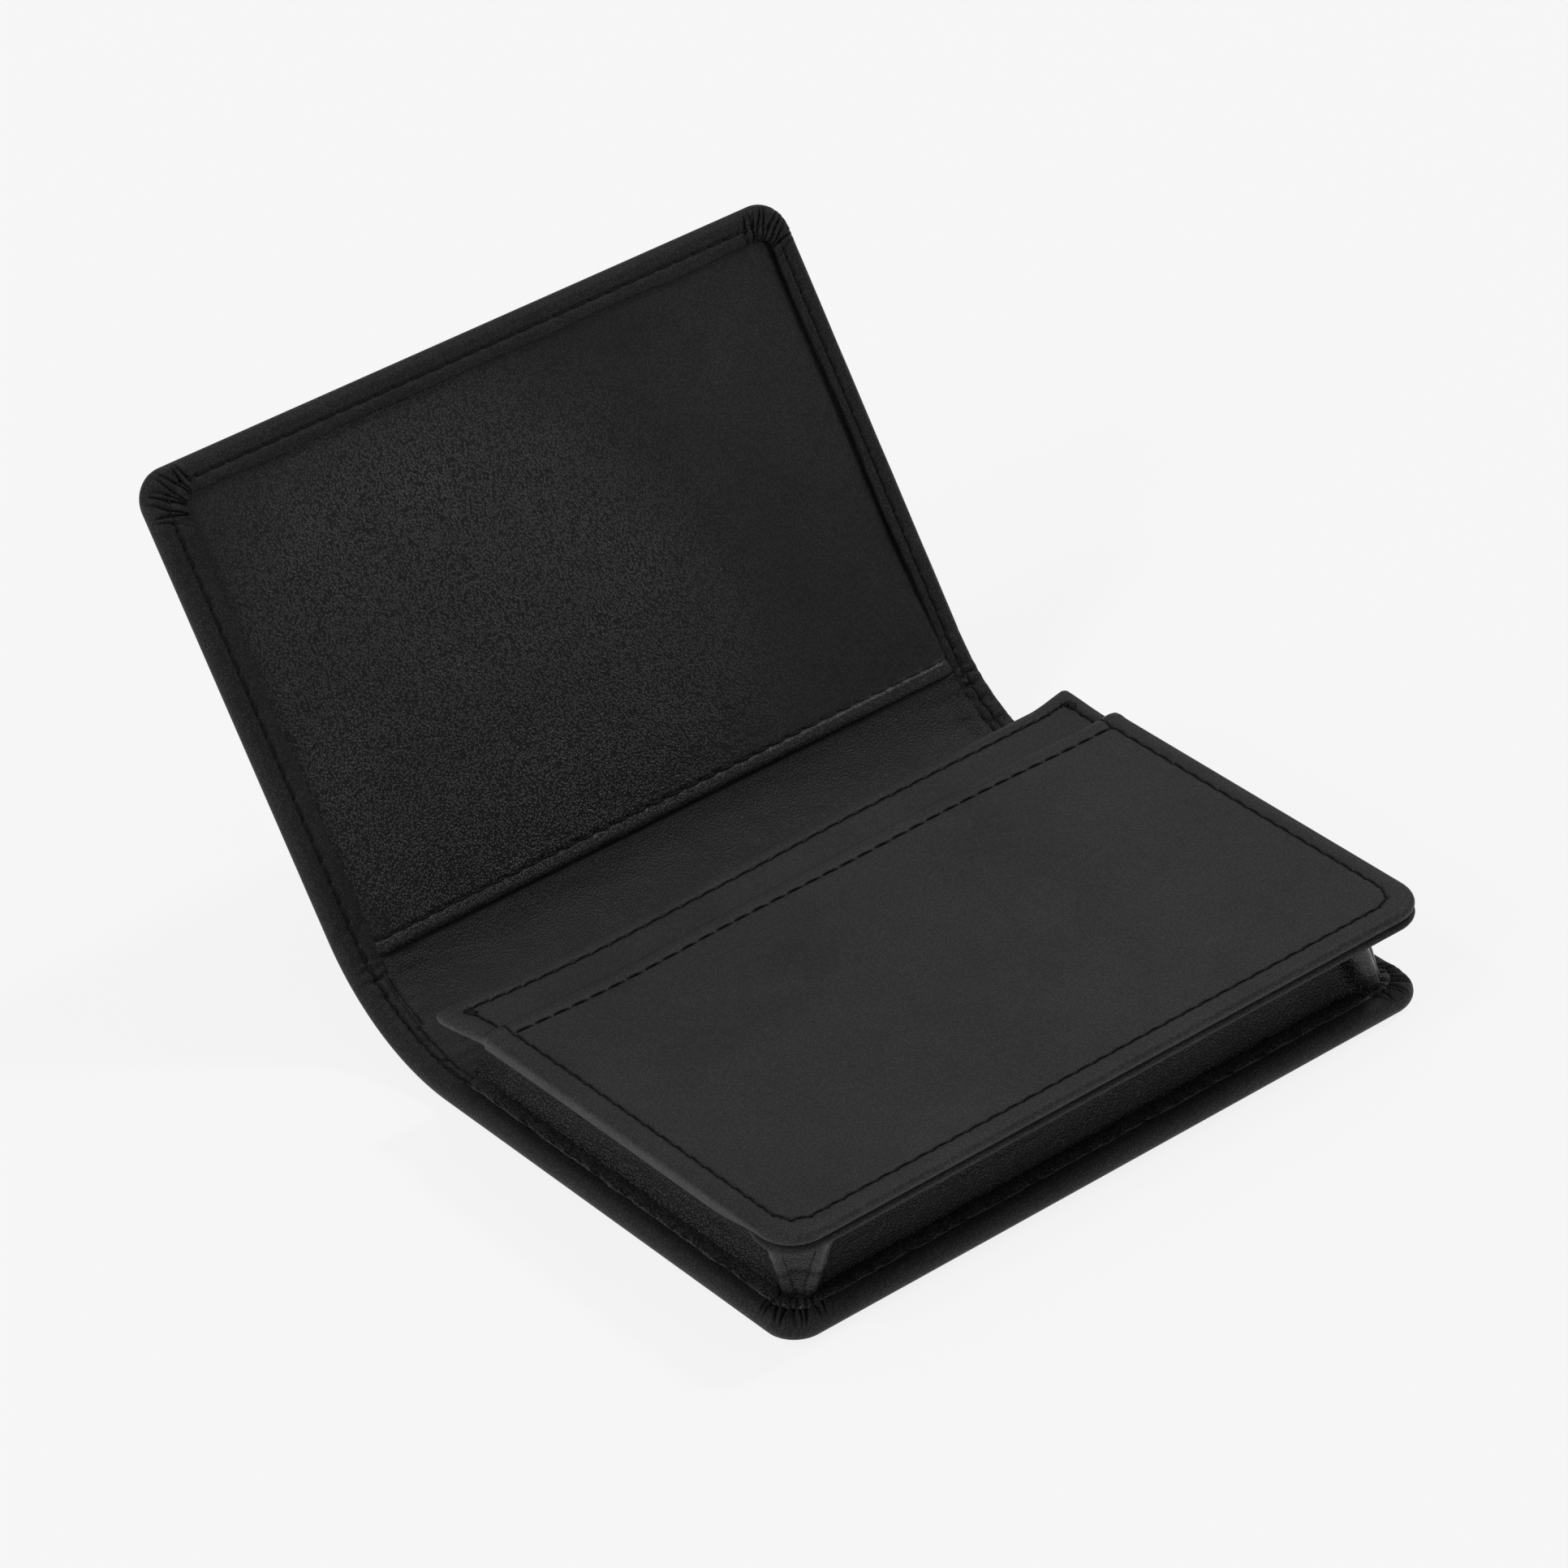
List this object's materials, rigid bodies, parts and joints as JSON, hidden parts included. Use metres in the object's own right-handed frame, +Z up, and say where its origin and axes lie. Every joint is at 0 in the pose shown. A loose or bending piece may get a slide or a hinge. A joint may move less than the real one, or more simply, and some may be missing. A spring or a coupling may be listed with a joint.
{
  "type": "gusseted leather card wallet",
  "caption": "Black leather card wallet that folds once: a tilted cover with a flat inner pocket, a soft spine, and a base with a raised slip-pocket wall on a folding bellows gusset.",
  "frame": {"origin": "centre of the base's flat underside, which rests on the table", "axes": "+X along the long side, +Y from the base's front edge towards the spine and the cover, +Z up out of the table"},
  "size_m": [0.105, 0.1268, 0.0672],
  "materials": {
    "smooth_leather": "smooth matt black calf leather",
    "grained_leather": "pebble-grained matt black leather",
    "lining_leather": "fine smooth black lining leather",
    "board": "thin stiff paper board, hidden",
    "interlining": "soft felted interlining, hidden",
    "thread": "black bonded sewing thread"
  },
  "bodies": {
    "base": {"base_outer_leather": "smooth_leather", "base_board": "board", "base_lining": "lining_leather", "base_hem_thread": "thread", "gusset_front": "grained_leather", "gusset_left": "grained_leather", "gusset_right": "grained_leather", "gusset_pleat_left": "grained_leather", "gusset_pleat_right": "grained_leather"},
    "spine": {"spine_outer_leather": "smooth_leather", "spine_interlining": "interlining", "spine_lining": "lining_leather", "spine_hem_thread": "thread"},
    "cover": {"cover_outer_leather": "smooth_leather", "cover_board": "board", "cover_lining": "lining_leather", "cover_pocket_panel": "grained_leather", "cover_pocket_thread": "thread", "cover_hem_thread": "thread"},
    "wall": {"wall_back_lining": "lining_leather", "wall_board": "board", "wall_face_panel": "smooth_leather", "slip_pocket_panel": "smooth_leather", "wall_top_thread": "thread", "slip_pocket_thread": "thread", "wall_rim_thread": "thread", "bar_tacks": "thread"}
  },
  "joints": [
    {"name": "spine_fold", "type": "hinge", "parent": "base", "child": "spine", "pos_m": [0, 0.03504, 0.00105], "axis": [1, 0, 0], "range_deg": [-21.5, 67.7]},
    {"name": "cover_fold", "type": "hinge", "parent": "spine", "child": "cover", "pos_m": [0, 0.05237, 0.00859], "axis": [1, 0, 0], "range_deg": [-35, 55.6]},
    {"name": "pocket_expand", "type": "slide", "parent": "base", "child": "wall", "axis": [0, 0, 1], "range_m": [-0.009, 0], "deforming": ["gusset_front", "gusset_left", "gusset_right", "gusset_pleat_left", "gusset_pleat_right"]}
  ]
}
